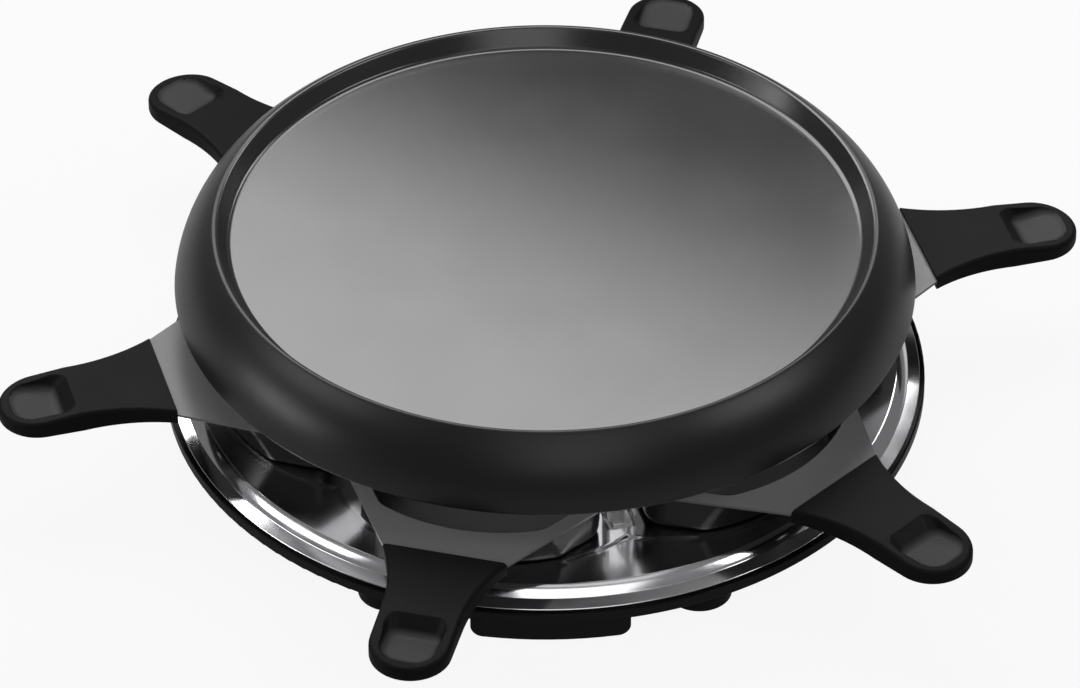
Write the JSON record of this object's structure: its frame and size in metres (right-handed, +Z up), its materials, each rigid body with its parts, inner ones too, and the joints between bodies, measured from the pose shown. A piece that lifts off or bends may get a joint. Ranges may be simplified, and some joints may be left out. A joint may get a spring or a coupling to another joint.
{
  "type": "raclette grill",
  "caption": "Round tabletop raclette grill with a coated cast plate over a ring of slide-out pans, a hidden heating element and a bright reflector tray in a black base.",
  "frame": {"origin": "on the table, under the middle of the grill", "axes": "+Z up, the front tab towards -Y, +X to the right seen from the front"},
  "size_m": [0.4658, 0.4692, 0.0956],
  "materials": {
    "black_gloss": "glossy black moulded plastic",
    "black_plastic": "plain black moulded plastic",
    "steel": "plated steel",
    "rubber": "soft black rubber",
    "mirror_sheet": "bright mirror-finished pressed sheet",
    "bracket_sheet": "bright bent steel strip",
    "element_tube": "dark heat-tinted steel tube",
    "ceramic": "unglazed white ceramic",
    "white_plastic": "white terminal block plastic",
    "wire_brown": "brown wire cover",
    "wire_blue": "blue wire cover",
    "wire_green": "green earth wire cover",
    "plate_coat": "dark grey non-stick coating with fine speckle over cast aluminium",
    "pan_coat": "dark non-stick coating over pressed steel",
    "handle_plastic": "satin black heat-proof plastic"
  },
  "bodies": {
    "base": {"base_shell": "black_gloss", "base_cover": "black_plastic", "cover_screws": "steel", "foot_pads": "rubber", "reflector_tray": "mirror_sheet", "support_bracket_1": "bracket_sheet", "support_bracket_2": "bracket_sheet", "support_bracket_3": "bracket_sheet", "bracket_screws": "steel", "heating_element": "element_tube", "element_clips": "steel", "element_bushings": "ceramic", "thermal_cutout": "steel", "terminal_block": "white_plastic", "live_lead": "wire_brown", "cutout_lead": "wire_brown", "neutral_lead": "wire_blue", "earth_lead": "wire_green", "cord_gland": "rubber"},
    "grill_plate": {"grill_plate": "plate_coat"},
    "pan_1": {"pan_1": "pan_coat", "pan_handle_1": "handle_plastic", "pan_screw_1": "steel"},
    "pan_2": {"pan_2": "pan_coat", "pan_handle_2": "handle_plastic", "pan_screw_2": "steel"},
    "pan_3": {"pan_3": "pan_coat", "pan_handle_3": "handle_plastic", "pan_screw_3": "steel"},
    "pan_4": {"pan_4": "pan_coat", "pan_handle_4": "handle_plastic", "pan_screw_4": "steel"},
    "pan_5": {"pan_5": "pan_coat", "pan_handle_5": "handle_plastic", "pan_screw_5": "steel"},
    "pan_6": {"pan_6": "pan_coat", "pan_handle_6": "handle_plastic", "pan_screw_6": "steel"}
  },
  "joints": [
    {"name": "grill_plate_lift", "type": "slide", "parent": "base", "child": "grill_plate", "axis": [0, 0, 1], "range_m": [0, 0.1]},
    {"name": "pan_1_slide", "type": "slide", "parent": "base", "child": "pan_1", "axis": [-0.2453, -0.9694, 0], "range_m": [0, 0.12]},
    {"name": "pan_2_slide", "type": "slide", "parent": "base", "child": "pan_2", "axis": [0.7169, -0.6972, 0], "range_m": [0, 0.12]},
    {"name": "pan_3_slide", "type": "slide", "parent": "base", "child": "pan_3", "axis": [0.9622, 0.2723, 0], "range_m": [0, 0.12]},
    {"name": "pan_4_slide", "type": "slide", "parent": "base", "child": "pan_4", "axis": [0.2453, 0.9694, 0], "range_m": [0, 0.12]},
    {"name": "pan_5_slide", "type": "slide", "parent": "base", "child": "pan_5", "axis": [-0.7169, 0.6972, 0], "range_m": [0, 0.12]},
    {"name": "pan_6_slide", "type": "slide", "parent": "base", "child": "pan_6", "axis": [-0.9622, -0.2723, 0], "range_m": [0, 0.12]}
  ]
}
